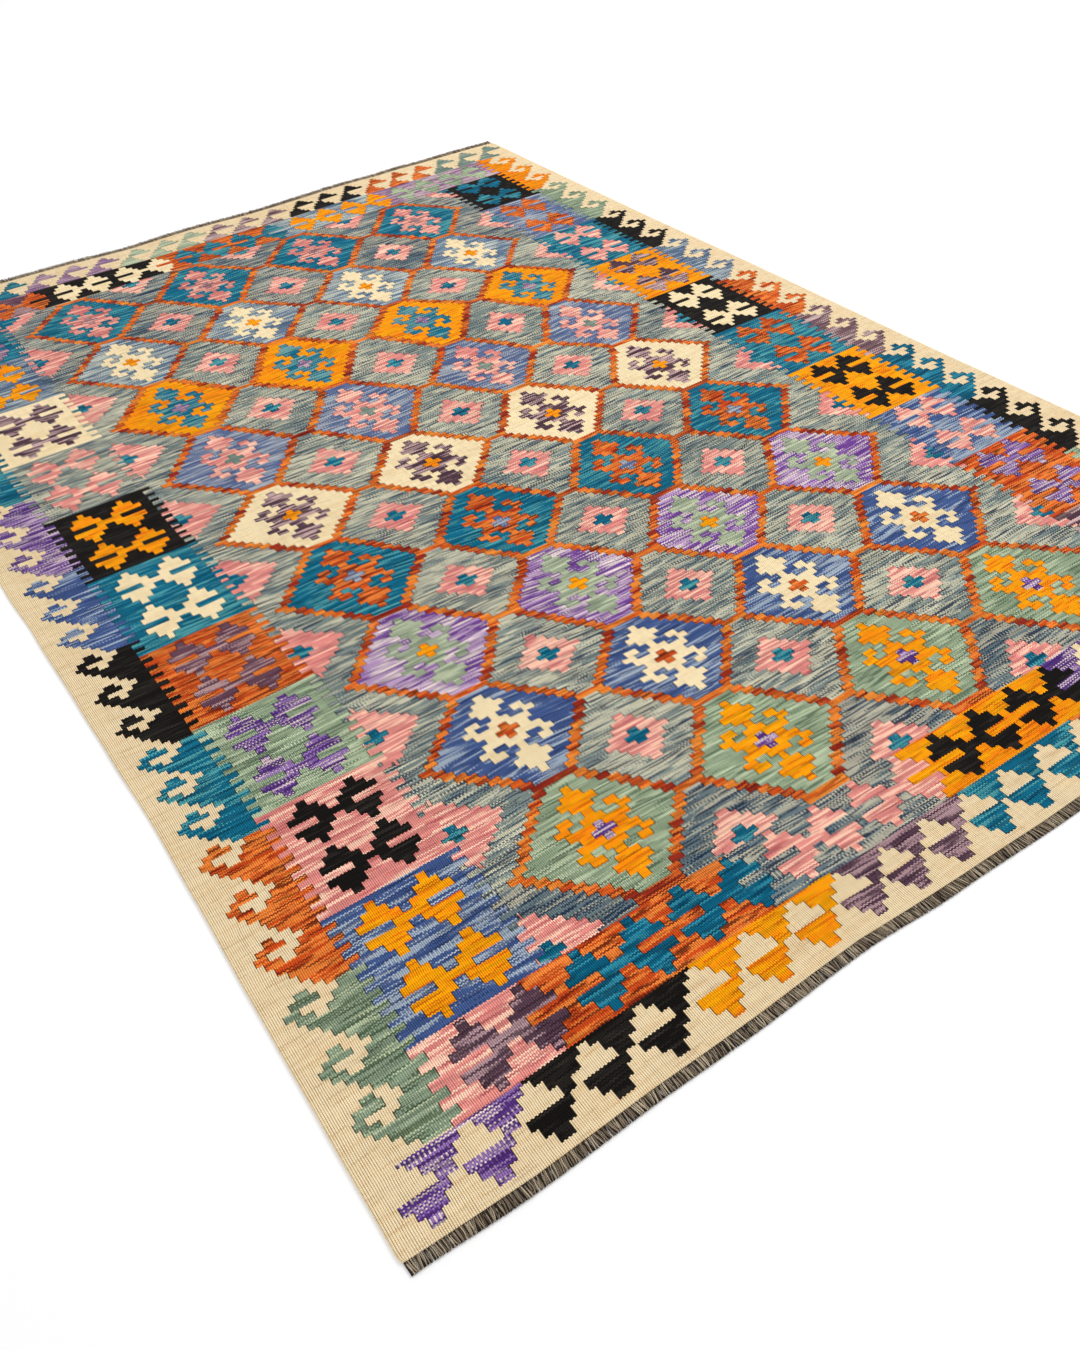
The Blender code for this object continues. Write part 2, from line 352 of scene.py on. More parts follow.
def weave_lozenge(middle, centre, half_widths, row, heart=()):
    """A stepped lozenge of pink, with a teal cross or a stepped heart."""
    weave_steps(new_area("pink"), stacked(centre, row, len(half_widths)), middle, half_widths)
    if heart:
        weave_steps(new_area("teal"), stacked(centre, HEART_ROW, len(heart)), middle, heart)
    else:
        weave_cross(new_area("teal"), middle, centre, wide=14, tall=14, arm_wide=6, arm_high=4.5)


for level, yarn in zip(LEVELS, GROUNDS):
    low, high = level - REPEAT // 2, level + REPEAT // 2
    weave(new_area(yarn), max(low, GROUND_ENDS[0]), min(high, GROUND_ENDS[1]), *FIELD)
for level in LEVELS:
    for middle in JOINTS:
        weave_lozenge(middle, level + LOZENGE_MIDDLE, LOZENGE, ROW)
    for middle in SIDE_JOINTS:
        has_cross = middle == SIDE_JOINTS[0] and level < LEVELS[-1]
        heart = () if has_cross else SIDE_HEART
        weave_lozenge(middle, level + LOZENGE_MIDDLE, SIDE_LOZENGE, SIDE_ROW, heart)
print("lozenges charted:", len(LEVELS) * (len(JOINTS) + 2))

# %% The medallions
MEDALLIONS = (  # from the near end: ground, motif, cross
    ("sage", "orange", "violet"), ("blue", "white", "rust"), ("purple", "pale sage", "orange"),
    ("teal", "rust", "periwinkle"), ("white", "aubergine", "orange"), ("periwinkle", "pink", "grey teal"),
    ("orange", "pale teal", "lilac"), ("sky blue", "white", "orange"), ("teal", "deep pink", "old rose"))
STEPS = 9                           # from a hexagon's side tips to its flat ends
TIPS = 48                           # the row of its side tips, in bands above its lower end
FLAT_END = 9.5                      # half the warps of a flat end
LINE_WIDTH = 7
TIP_BAR = 9                         # half the warps of the bars between the tips of two hexagons
BAR = 13.5                          # half the warps of the flat bars between the hexagons of a column
BAR_BANDS = (-2, 3)                 # and their first and last band, from where the next hexagon starts
SIDE_BLOCKS, BLOCK = (120, 519), 8  # where the lattice ends at each side, and the warps of its last block
MOTIF = (2.5, 6.5, 10.5, 6.5, 2.5, 6.5, 17.5, 13.7, 17.5, 6.5, 2.5, 6.5, 10.5, 6.5, 2.5)
MOTIF_START, MOTIF_ROW = 9.25, 5.5  # in bands above the lower end
# row: the inner and outer warp of a hook, from the middle
HOOKS = {4: (10, 17.5), 5: (14, 21.5), 9: (14, 21.5), 10: (10, 17.5)}


def line_area():
    """Starts one block of the lattice, of whichever end of yarn came to the weaver's hand."""
    return new_area(("rust", "bright rust", "dark red")[hand.choice(3, p=(0.36, 0.38, 0.26))])


def weave_medallion(level, middle, ground, motif, cross):
    """One hexagon from its lower end: its ground reaches FLAT_END + 3.5 (STEPS - |step|) warps to a side.

    The first and last column lean out to the squares, so there the step is 4 warps.
    """
    area = new_area(ground)
    left_step = 4 if middle == COLUMNS[0] else 3.5
    right_step = 4 if middle == COLUMNS[-1] else 3.5
    for step in range(-STEPS, STEPS + 1):
        low = level + TIPS + ROW * step
        left = middle - FLAT_END - left_step * (STEPS - abs(step)) + slip()
        right = middle + FLAT_END + right_step * (STEPS - abs(step)) + slip()
        weave(area, low, low + ROW, left, right)
        weave(line_area(), low, low + ROW, left - LINE_WIDTH, left)
        weave(line_area(), low, low + ROW, right, right + LINE_WIDTH)
    lines = level + MOTIF_START + MOTIF_ROW * np.arange(len(MOTIF) + 1)
    area = new_area(motif)
    weave_steps(area, lines, middle, MOTIF)
    for row, (inner, outer) in HOOKS.items():
        weave(area, lines[row], lines[row + 1], middle - outer + slip(), middle - inner)
        weave(area, lines[row], lines[row + 1], middle + inner, middle + outer + slip())
    heart = lines[len(MOTIF) // 2] + MOTIF_ROW / 2
    weave_cross(new_area(cross), middle, heart, wide=13, tall=15.5, arm_wide=5, arm_high=5.5)


for level, yarns in zip(LEVELS, MEDALLIONS):
    for middle in COLUMNS:
        weave_medallion(level, middle, *yarns)
    low, high = level + TIPS, level + TIPS + ROW
    for middle in JOINTS:
        reach = TIP_BAR + slip(2, 0.6)
        weave(line_area(), low, high, middle - reach, middle + reach)
    for left in SIDE_BLOCKS:
        weave(line_area(), low, high, left, left + BLOCK)
for level in LEVELS:  # the first bar meets the end border
    low = level + BAR_BANDS[0] if level else GROUND_ENDS[0]
    for middle in COLUMNS:
        weave(line_area(), low, level + BAR_BANDS[1], middle - BAR + slip(), middle + BAR + slip())
print("medallions charted:", len(MEDALLIONS) * len(COLUMNS))

# %% [markdown]
# ## The side borders: squares and hooks
#
# Down each side runs a column of squares with two motifs each, and outside it a border of running hooks on
# cream. The warps between the squares and their neighbours are shared: the colours interlock there like
# dovetails, one block after the other, which holds the rug together where a slit as long as a square would
# gape.

# %% The border of hooks
# A hook stands on a body that grows towards the near end. For 7 or 8 rows, the warp where each row starts:
HOOK_BODIES = {7: (33, 29, 25, 15, 19, 23, 28), 8: (33, 29, 25, 13.5, 17.5, 21, 25, 28.5)}
HOOK_HEADS = {-1: (15, 20.5), 0: (11, 24), 1: (7.5, 14), 2: (11, 18.5)}  # row: its first and last warp
HOOK_FOOT = (33, 29, 25, 20)  # the last body of each side, cut off by the end border
HOOK_MIDDLE = 20              # the middle warp of the border
TALL_HOOK = 0.0895            # a hook longer than this has 8 rows
LEFT_HOOKS = (  # from place, to place, on the scale of 3 m; yarn, hooks
    (0.1235, 0.291, "deep sage", 2), (0.291, 0.391, "deep sage", 1), (0.391, 0.6925, "rust", 3),
    (0.6925, 0.9475, "teal", 3), (0.9475, 1.237, "black", 3), (1.237, 1.52, "blue", 3),
    (1.52, 1.83, "violet", 3), (1.83, 2.09, "teal", 3), (2.09, 2.36, "rust", 3), (2.36, 2.62, "sage", 3),
    (2.62, 2.82, "aubergine", 2), (2.82, 2.868, "aubergine", 0))
RIGHT_HOOKS = (
    (0.1235, 0.345, "orange", 3), (0.345, 0.61, "sage", 3), (0.61, 0.871, "black", 3),
    (0.871, 1.137, "deep teal", 3), (1.137, 1.406, "mauve", 3), (1.406, 1.674, "rust", 3),
    (1.674, 1.954, "slate blue", 3), (1.954, 2.23, "black", 3), (2.23, 2.53, "deep sage", 3),
    (2.53, 2.82, "deep orange", 3), (2.82, 2.868, "deep orange", 0))


def weave_hooks(groups, from_edge, base):
    """Running hooks: from_edge turns warps counted from the edge into warps of the loom.

    A body ends at the warp base. Its rows count down from its top, and the head starts one row above.
    """
    def block(area, low, high, start, stop):
        """A block between two warps that are counted from the edge."""
        weave(area, low, high, *sorted((from_edge(start), from_edge(stop))))

    for low, high, yarn, hooks in groups:
        area = new_area(yarn)
        if not hooks:
            lines = band_at(np.linspace(low, high, len(HOOK_FOOT) + 1), from_edge(HOOK_MIDDLE))
            for start, *level in zip(HOOK_FOOT, lines, lines[1:]):
                block(area, *level, start, base)
            continue
        feet = low + (high - low) * np.arange(hooks + 1) / hooks
        for foot, top in zip(feet, feet[1:]):
            rows = 8 if top - foot > TALL_HOOK else 7
            lines = band_at(top - (top - foot) * np.arange(-1, rows + 1) / rows, from_edge(HOOK_MIDDLE))
            for row, start in enumerate(HOOK_BODIES[rows]):
                block(area, lines[row + 2], lines[row + 1], start + slip(1, 0.35), base)
            for row, (start, stop) in HOOK_HEADS.items():
                block(area, lines[row + 2], lines[row + 1], start + slip(), stop + slip())


weave_hooks(LEFT_HOOKS, lambda warp: warp, LEFT_COLUMN[0])
weave_hooks(RIGHT_HOOKS, lambda warp: WARPS - warp, WARPS - RIGHT_COLUMN[1])
print("hooks charted:", sum(group[3] for group in LEFT_HOOKS + RIGHT_HOOKS))

# %% The squares
# where a column's squares meet, on the scale of 3 m
LEFT_EDGES = (0.236, 0.486, 0.716, 0.957, 1.193, 1.458, 1.713, 1.976, 2.235, 2.495, 2.745)
RIGHT_EDGES = (0.236, 0.475, 0.720, 0.9475, 1.200, 1.454, 1.713, 1.965, 2.224, 2.500, 2.734)
LEFT_SQUARES = (  # from the near end: ground, motif
    ("blue", "orange"), ("pink", "black"), ("sage", "violet"), ("rust", "red violet"), ("teal", "white"),
    ("black", "orange"), ("grey", "pink"), ("white", "aubergine"), ("slate blue", "orange"),
    ("teal", "lilac"))
RIGHT_SQUARES = (
    ("aubergine", "white"), ("rust", "violet"), ("blue", "pink"), ("orange", "black"), ("teal", "rust"),
    ("black", "white"), ("orange", "aubergine"), ("teal", "pink"), ("periwinkle", "rust"), ("black", "teal"))
APART = (13.5, 12)                          # warps from a motif's middle to its lobes, left and right
SHARES = ((0.265, 0.742), (0.262, 0.768))   # how high up a square its two motifs stand, left and right
LOBE = (2.5, 6.5, 10.5, 0, 10.5, 6.5, 2.5)  # half widths, row by row; the middle row is the bridge
BRIDGE = slice(3, 5)                        # the lines below and above that row
LOBE_ROW = 0.062                            # of the square's height
NECK = 4.5                                  # from a lobe's middle to the bridge, in warps
TOOTH = 4.45                                # bands
TEETH = 6                                   # how many warps they reach into the neighbours


def weave_pair(area, lines, left, right, half_widths):
    """Two stepped lobes with a bridge between them."""
    for lobe in (left, right):
        weave_steps(area, lines, lobe, half_widths)
    weave(area, *lines[BRIDGE], left + NECK + slip(), right - NECK + slip())


def weave_squares(edges, yarns, left, right, apart, shares):
    """A column of squares between two warps, with teeth into both neighbours.

    The lobes of a motif stand so far apart from its middle, and the two motifs at these shares of the square.
    """
    middle = (left + right) / 2
    for low, high, (ground, motif) in zip(edges, edges[1:], yarns):
        low, high = band_at([low, high], middle)
        area = new_area(ground)
        weave(area, low, high, left, right)
        for share in shares:
            lines = stacked(low + (high - low) * share, (high - low) * LOBE_ROW, len(LOBE))
            centre = middle + slip(1, 0.5)
            weave_pair(new_area(motif), lines, centre - apart, centre + apart, LOBE)
        teeth = np.linspace(low, high, 2 * int((high - low) / TOOTH / 2) + 2)
        for start, stop in zip(teeth[::2], teeth[1::2]):
            weave(area, start, stop, left - TEETH, left)
            weave(area, start, stop, right, right + TEETH)


weave_squares(LEFT_EDGES, LEFT_SQUARES, *LEFT_COLUMN, APART[0], SHARES[0])
weave_squares(RIGHT_EDGES, RIGHT_SQUARES, *RIGHT_COLUMN, APART[1], SHARES[1])
print("squares charted:", len(LEFT_SQUARES) + len(RIGHT_SQUARES))

# %% [markdown]
# ## The end borders
#
# Each end has two borders. The inner one is a band of paired lobes whose colours change every four lobes.
# The outer one is a row of stepped triangles, each with a second triangle on its tip, on the cream of the
# end.

# %% The inner border of each end
NEAR_BORDER, FAR_BORDER = (-47.4, -3.9), (903.6, 948.4)  # first and last bands
FAR_LEVEL, TIP_LEVEL = 925, 955  # the bands at which the far borders' lobes and tips are measured
# the band lines between the rows of a lobe, and its half widths, row by row
NEAR_LINES = (-45.3, -39.9, -34, -27.5, -22.3, -16.6, -11, -4.8)
FAR_LINES = (904.3, 910.2, 916.1, 922, 927.7, 933.7, 939.8, 945.8)
NEAR_LOBE = (2.5, 6.5, 11, 0, 11, 7, 2.5)
FAR_LOBE = (3, 7, 10.4, 0, 10.4, 7, 3)
SLOT = 6.5  # from a lobe's middle back to where the next ground's slot starts, under the bridge, in warps
# the lobes' middles, in metres from the left edge
NEAR_LOBES = (
    0.2025, 0.291, 0.379, 0.468, 0.551, 0.640, 0.723, 0.805, 0.885, 0.971, 1.050, 1.139, 1.221, 1.307, 1.393,
    1.479, 1.565, 1.651, 1.737, 1.823)
FAR_LOBES = (
    0.156, 0.243, 0.331, 0.424, 0.509, 0.5935, 0.6815, 0.7755, 0.8575, 0.946, 1.026, 1.1245, 1.2145, 1.302,
    1.386, 1.474, 1.556, 1.643, 1.7275, 1.812)
NEAR_GROUPS = (  # ground, motif, lobes
    ("pink", "plum", 2), ("rust", "deep teal", 4), ("storm grey", "pink", 4), ("orange", "black", 4),
    ("violet", "white", 4), ("sage", "plum", 2))
FAR_GROUPS = (
    ("red violet", "rust", 4), ("black", "white", 4), ("rust", "teal", 4), ("sky blue", "orange", 4),
    ("lilac", "sage", 4))


def weave_lobes(low, high, lines, half_widths, lobes, groups):
    """The inner border: lobes at these warps, on grounds that change at a group's last lobe.

    A ground ends one warp past the middle of that lobe, and the next ground fills the slot in it.
    """
    first_warp, last_warp = LEFT_COLUMN[0], RIGHT_COLUMN[1]
    start = slot = first_warp
    first = 0
    for ground, motif, count in groups:
        last = first + count - 1
        stop = last_warp if last + 1 >= len(lobes) else lobes[last] + 1
        area = new_area(ground)
        weave(area, low, high, start, stop)
        weave(area, *lines[BRIDGE], slot, start)
        teeth = np.linspace(low, high, 10)
        for tooth, end in zip(teeth[::2], teeth[1::2]):  # into the borders of hooks
            if start == first_warp:
                weave(area, tooth, end, first_warp - TEETH, first_warp)
            elif stop == last_warp:
                weave(area, tooth, end, last_warp, last_warp + TEETH)
        start, first, slot = stop, first + count, lobes[last] - SLOT
    first = 0
    for ground, motif, count in groups:
        for left, right in zip(lobes[first:first + count:2], lobes[first + 1:first + count:2]):
            weave_pair(new_area(motif), lines, left, right, half_widths)
        first += count


near_lobes = [place / WARP_PITCH for place in NEAR_LOBES]
far_lobes = [warp_at(place, FAR_LEVEL) for place in FAR_LOBES]
weave_lobes(*NEAR_BORDER, NEAR_LINES, NEAR_LOBE, near_lobes, NEAR_GROUPS)
weave_lobes(*FAR_BORDER, FAR_LINES, FAR_LOBE, far_lobes, FAR_GROUPS)
print("lobes charted:", len(NEAR_LOBES) + len(FAR_LOBES))


# %% The outer border of each end
def weave_triangles(yarns, tips, rows):
    """Stepped triangles with a second one on each tip.

    The tips are warps, and the rows are (from band, to band, shift, half width), both in warps from the tip.
    """
    for number, (yarn, tip) in enumerate(zip(yarns, tips)):
        if number == 0 or yarn != yarns[number - 1]:  # a run of one yarn is one area
            area = new_area(yarn)
        for low, high, shift, half in rows:
            weave(area, low, high, tip + shift - half + slip(), tip + shift + half + slip())


NEAR_TRIANGLES = (
    *["violet"] * 2, *["black"] * 3, *["orange"] * 3, *["plum"] * 3, *["teal"] * 3, *["rust"] * 3,
    *["blue"] * 3, *["sage"] * 2)
FAR_TRIANGLES = (
    "rust", *["teal"] * 3, *["lilac"] * 3, *["pale sage"] * 3, *["mauve"] * 3, *["black"] * 3, *["rust"] * 3,
    *["grey teal"] * 3)
# in metres from the left edge
NEAR_TIPS = (
    0.093, 0.1805, 0.268, 0.3555, 0.443, 0.532, 0.616, 0.702, 0.788, 0.868, 0.952, 1.035, 1.1165, 1.2025,
    1.2895, 1.3765, 1.4635, 1.5505, 1.6375, 1.7245, 1.8115, 1.8985)
FAR_TIPS = (
    0.1035, 0.191, 0.278, 0.367, 0.451, 0.5365, 0.6235, 0.7175, 0.807, 0.887, 0.973, 1.061, 1.1525, 1.2435,
    1.3265, 1.4165, 1.505, 1.5865, 1.669, 1.751, 1.837, 1.922)
NEAR_ROWS = (
    (-49, -47.4, 0, 14.5), (-53, -49, 0, 11.5), (-58.8, -53, 0, 7.5), (-64.8, -58.8, 0, 3.5),
    (-70.8, -64.8, -11.75, 10.7), (-76.9, -70.8, -11.75, 7.3), (-83.2, -76.9, -11.75, 3.3))
FAR_ROWS = (
    (948.4, 953.6, 0, 10.3), (953.6, 958.4, -0.5, 7.2), (958.4, 963, 0, 4.8), (963, 967.3, 1.8, 2.5),
    (967.3, 971.6, 12.3, 9.8), (971.6, 975.8, 11.6, 6.4), (975.8, 979.6, 11.6, 4), (979.6, 983.2, 11.9, 1.9))
weave_triangles(NEAR_TRIANGLES, [place / WARP_PITCH for place in NEAR_TIPS], NEAR_ROWS)
weave_triangles(FAR_TRIANGLES, [warp_at(place, TIP_LEVEL) for place in FAR_TIPS], FAR_ROWS)
area_yarns = np.array(area_yarns)
print("the chart has", len(area_yarns), "colour areas")

# %% [markdown]
# ## The cloth
#
# The chart becomes a mesh. One square face for each float would be over a million faces, so cells of one
# area are gathered into the largest rectangles that fit. Neighbours differ in size, so a rectangle takes
# every corner of its neighbours that lies on its own edge as one more corner of its own, and no crack opens
# between them. The same faces, turned over, are the back, because a kilim shows its pattern on both sides,
# and a rounded rim closes the edge. All of this is done with whole arrays: no loop runs over faces or
# corners.

# %% From cells to rectangles
GRID_WARPS, GRID_BANDS = 28, 30  # no rectangle crosses these, so that it can follow the bending wefts
NOWHERE = (-99, 9999)            # a line far off before and after the cloth, where there is none to find
SCALE = 1 << 20                  # more than any band or warp number


def joined(first, second):
    """Two whole numbers as one that sorts by the first, then the second."""
    return first.astype(np.int64) * SCALE + second


def taken(places, *lists):
    """The same places of several lists."""
    return [values[places] for values in lists]


def counted(numbers):
    """0, 1, 2 and so on up to each of these numbers in turn, as one list."""
    return np.arange(numbers.sum()) - np.repeat(np.cumsum(numbers) - numbers, numbers)


# a run is a row of cells of one area: the warp line where it starts and the one where it ends
changes = np.ones((BANDS, WARPS + 1), bool)
changes[:, 1:-1] = chart[:, 1:] != chart[:, :-1]
slit_lines = np.ones((BANDS, WARPS + 1), bool)  # slits are only where the yarn changes too
slit_lines[:, 1:-1] = area_yarns[chart[:, 1:]] != area_yarns[chart[:, :-1]]
run_left = np.maximum.accumulate(np.where(slit_lines, warp_lines, 0), axis=1)
run_right = np.minimum.accumulate(np.where(slit_lines, warp_lines, WARPS)[:, ::-1], axis=1)[:, ::-1]
cuts = changes.copy()
cuts[:, ::GRID_WARPS] = cuts[:, [2, WARPS - 2]] = True  # the selvedges are two warps wide
row, column = np.nonzero(cuts)
inside = row[1:] == row[:-1]
row, start, end = row[:-1][inside], column[:-1][inside], column[1:][inside]
area = chart[row, start]
slit_left, slit_right = run_left[row, start], run_right[row, start + 1]
slit_left[slit_left == 0] = NOWHERE[0]  # the cloth's own edges are no slits
slit_right[slit_right == WARPS] = NOWHERE[1]

# equal runs in neighbouring rows are one rectangle
order = np.lexsort((row, slit_right, slit_left, area, end, start))
row, start, end, area, slit_left, slit_right = taken(order, row, start, end, area, slit_left, slit_right)
new = np.ones(len(row), bool)
new[1:] = row[1:] != row[:-1] + 1
for values in (start, end, area, slit_left, slit_right):
    new[1:] |= values[1:] != values[:-1]
new |= row % GRID_BANDS == 0
new |= np.isin(row, (1, 2, BANDS - 2, BANDS - 1))  # lines for the rounded corners
first = np.flatnonzero(new)
bottom, top = row[first], row[np.append(first[1:], len(row)) - 1] + 1
start, end, area, slit_left, slit_right = taken(first, start, end, area, slit_left, slit_right)
print("rectangles:", len(bottom))

# %% Cuts where the colour above changes
# Floats of every second warp reach half a band into the area above, so a face needs one area above it.
above_cuts = joined(*np.nonzero(changes[:, :-1]))
low = np.searchsorted(above_cuts, joined(top, start), side="right")
high = np.searchsorted(above_cuts, joined(top, end), side="left")
parts = np.where(top < BANDS, high - low, 0) + 1
owner = np.repeat(np.arange(len(top)), parts)
part = counted(parts)
next_cut = low[owner] + part
cut_warps = np.append(above_cuts, 0) % SCALE
last = len(above_cuts)
left = np.where(part == 0, start[owner], cut_warps[np.minimum(next_cut - 1, last)])
right = np.where(part == parts[owner] - 1, end[owner], cut_warps[np.minimum(next_cut, last)])
bottom, top, area, slit_left, slit_right = taken(owner, bottom, top, area, slit_left, slit_right)
area_above = chart[np.minimum(top, BANDS - 1), left]
print("faces on one side:", len(left))

# %% Corners, with those of the neighbours
corners = np.unique(np.concatenate([joined(y, x) for y in (bottom, top) for x in (left, right)]))
line_of, warp_of = np.divmod(corners, SCALE)
by_warp = np.lexsort((line_of, warp_of))
corners_by_warp = joined(warp_of, line_of)[by_warp]
count = len(corners)


def on_level(line, warp):
    """Where a corner stands in the list that is sorted line by line."""
    return np.searchsorted(corners, joined(line, warp))


def on_upright(line, warp):
    """Where a corner stands in the list that is sorted warp by warp, which follows the first list."""
    return count + np.searchsorted(corners_by_warp, joined(warp, line))


lists = np.concatenate([np.arange(count), by_warp])
starts = np.stack([
    on_level(bottom, left), on_upright(bottom, right), on_level(top, right), on_upright(top, left)], 1)
stops = np.stack([
    on_level(bottom, right), on_upright(top, right), on_level(top, left), on_upright(bottom, left)], 1)
lengths = np.abs(stops - starts).ravel()
steps = np.sign(stops - starts).ravel()
face_corners = lists[np.repeat(starts.ravel(), lengths) + counted(lengths) * np.repeat(steps, lengths)]
face_sizes = lengths.reshape(-1, 4).sum(1)
print("corners:", count, " triangles on one side:", int((face_sizes - 2).sum()))


# %% Where each corner lies
def unevenness(bands_apart, warps_apart, size):
    """Random values up to a size at wide-spaced points of the loom, eased between them."""
    coarse = hand.uniform(-size, size, (BANDS // bands_apart + 2, WARPS // warps_apart + 2))
    tall = eased(np.arange(coarse.shape[0]) * bands_apart, coarse, np.arange(BANDS + 1))
    return eased(np.arange(coarse.shape[1]) * warps_apart, tall.T, warp_lines).T


from_ends = np.minimum(band_lines - FIRST_BAND, LAST_BAND - band_lines)[:, None]
from_sides = np.minimum(warp_lines, WARPS - warp_lines)
margin = np.minimum(from_ends / 12, from_sides / 10).clip(0, 1)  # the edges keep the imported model's outline
across = place_across + margin * (unevenness(14, 22, 0.0012) + unevenness(5, 9, 0.0006))
along = place_along + margin * (unevenness(30, 26, 0.0016) + unevenness(11, 8, 0.0008))
# rounded corners, by the first band lines of each end
for line, inset in ((0, 0.0035), (1, 0.0015), (2, 0.0005)):
    across[[line, -1 - line], 0] += inset
    across[[line, -1 - line], -1] -= inset
lift = 0.0006 + unevenness(60, 60, 0.0005) + unevenness(23, 19, 0.0001)
thickness = CLOTH_THICKNESS - 0.0002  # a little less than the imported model's, because the cloth also lifts

x = ORIGIN[0] + across[line_of, warp_of]
y = ORIGIN[1] + along[line_of, warp_of]
rise = lift[line_of, warp_of]
face_side = np.stack([x, y, rise + thickness], 1)
back_side = np.stack([x, y, rise], 1)
print("the cloth's face is", span(face_side[:, 2], "mm"), "high")


# %% The rim
def unit(vectors):
    """Vectors of the same directions and of length 1: v / |v|."""
    return vectors / np.linalg.norm(vectors, axis=-1, keepdims=True)


# Once round the edge runs a ring of corners, and outside it five more, on an arc from the face to the back.
RIM = 0.0011  # how far it stands out
RIM_ANGLES = np.radians([60, 30, 0, -30, -60])
near = np.flatnonzero(line_of == 0)
far = np.flatnonzero(line_of == BANDS)
west = by_warp[np.flatnonzero(warp_of[by_warp] == 0)]
east = by_warp[np.flatnonzero(warp_of[by_warp] == WARPS)]
ring = np.concatenate([near[:-1], east[:-1], far[:0:-1], west[:0:-1]])
edge = np.stack([x[ring], y[ring]], 1)
direction = unit(np.roll(edge, -1, 0) - edge) + unit(edge - np.roll(edge, 1, 0))
outwards = unit(np.stack([direction[:, 1], -direction[:, 0]], 1))
rim_rings = [
    np.column_stack([
        edge + outwards * RIM * np.cos(angle), rise[ring] + thickness * (0.5 + 0.5 * np.sin(angle))])
    for angle in RIM_ANGLES]
rim_ids = [2 * count + number * len(ring) + np.arange(len(ring)) for number in range(len(RIM_ANGLES))]
ring_ids = [ring + count, *rim_ids[::-1], ring]  # from the back side up to the face side
rim_faces = np.concatenate([
    np.stack([low_ids, np.roll(low_ids, -1), np.roll(high_ids, -1), high_ids], 1)
    for low_ids, high_ids in zip(ring_ids, ring_ids[1:])])
print("rim faces:", len(rim_faces))


# %% The mesh, with its faces' yarns
def mesh_object(name, points, corners_of_faces, sizes, material):
    """A new mesh object from whole arrays: points, all faces' corners in a row, and each face's size."""
    mesh = bpy.data.meshes.new(name)
    mesh.vertices.add(len(points))
    mesh.vertices.foreach_set("co", np.ascontiguousarray(points, np.float32).ravel())
    mesh.loops.add(len(corners_of_faces))
    mesh.loops.foreach_set("vertex_index", corners_of_faces.astype(np.int32))
    mesh.polygons.add(len(sizes))
    mesh.polygons.foreach_set("loop_start", (np.cumsum(sizes) - sizes).astype(np.int32))
    mesh.polygons.foreach_set("use_smooth", np.ones(len(sizes), bool))
    mesh.update(calc_edges=True)
    mesh.validate()
    mesh.materials.append(material)
    obj = bpy.data.objects.new(name, mesh)
    bpy.context.scene.collection.objects.link(obj)
    return obj


def set_faces(mesh, name, *columns):
    """A vector for each face, under a name that a material can read."""
    values = np.zeros((len(mesh.polygons), 3), np.float32)
    for number, column in enumerate(columns):
        values[:, number] = column
    mesh.attributes.new(name, "FLOAT_VECTOR", "FACE").data.foreach_set("vector", values.ravel())


def reverse_faces(values, sizes):
    """The corners of each face in the opposite order."""
    return values[np.repeat(np.cumsum(sizes) - 1, sizes) - counted(sizes)]


def all_faces(values, on_rim):
    """One value for each face: the back's, then the same one for all of the rim, then the face side's."""
    return np.concatenate([values, np.full(len(rim_faces), float(on_rim)), values])


wool = bpy.data.materials.new("hand-spun wool, weft-faced weave")
points = np.concatenate([face_side, back_side, *rim_rings])
back_corners = reverse_faces(face_corners, face_sizes) + count
sizes = np.concatenate([face_sizes, np.full(len(rim_faces), 4), face_sizes])
cloth = mesh_object(
    "kilim_weave", points, np.concatenate([back_corners, rim_faces.ravel(), face_corners]), sizes, wool)
mesh = cloth.data
cream = YARN_NUMBER["cream"]
set_faces(mesh, "here", all_faces(area_yarns[area], cream), all_faces(area, cream_ground))
set_faces(
    mesh, "above", all_faces(area_yarns[area_above], cream), all_faces(area_above, cream_ground),
    all_faces(top, NOWHERE[1]))
set_faces(mesh, "slits", all_faces(slit_left, NOWHERE[0]), all_faces(slit_right, NOWHERE[1]))

# two maps: the loom's own, in warps and bands, and one that fills a square for baking, the rim in its margin
MARGIN = 0.012
RIM_REACH = (0.2, 0.4, 0.6, 0.8, 0.95)  # how far into the margin each ring of the rim lies
corner_places = np.stack([warp_of, line_of], 1)
loom_places = np.concatenate([corner_places] * 2 + [corner_places[ring]] * len(RIM_ANGLES)).astype(float)
outside = np.sign(np.tile(outwards, (len(RIM_ANGLES), 1)).round(1))
loom_places[2 * count:] += outside / 2  # the rim is half a rib more
bake_places = MARGIN + (1 - 2 * MARGIN) * np.clip(loom_places / (WARPS, BANDS), 0, 1)
reach = np.repeat(RIM_REACH, len(ring))[:, None] * MARGIN
bake_places[2 * count:] += reach * outside
loop_vertex = np.zeros(len(mesh.loops), np.int32)
mesh.loops.foreach_get("vertex_index", loop_vertex)
for name, places in (("OFBake", bake_places), ("loom", loom_places)):
    mesh.uv_layers.new(name=name).data.foreach_set("uv", places[loop_vertex].astype(np.float32).ravel())
mesh.uv_layers.active = mesh.uv_layers["OFBake"]
print("the cloth has", len(mesh.polygons), "faces and", int((sizes - 2).sum()), "triangles")
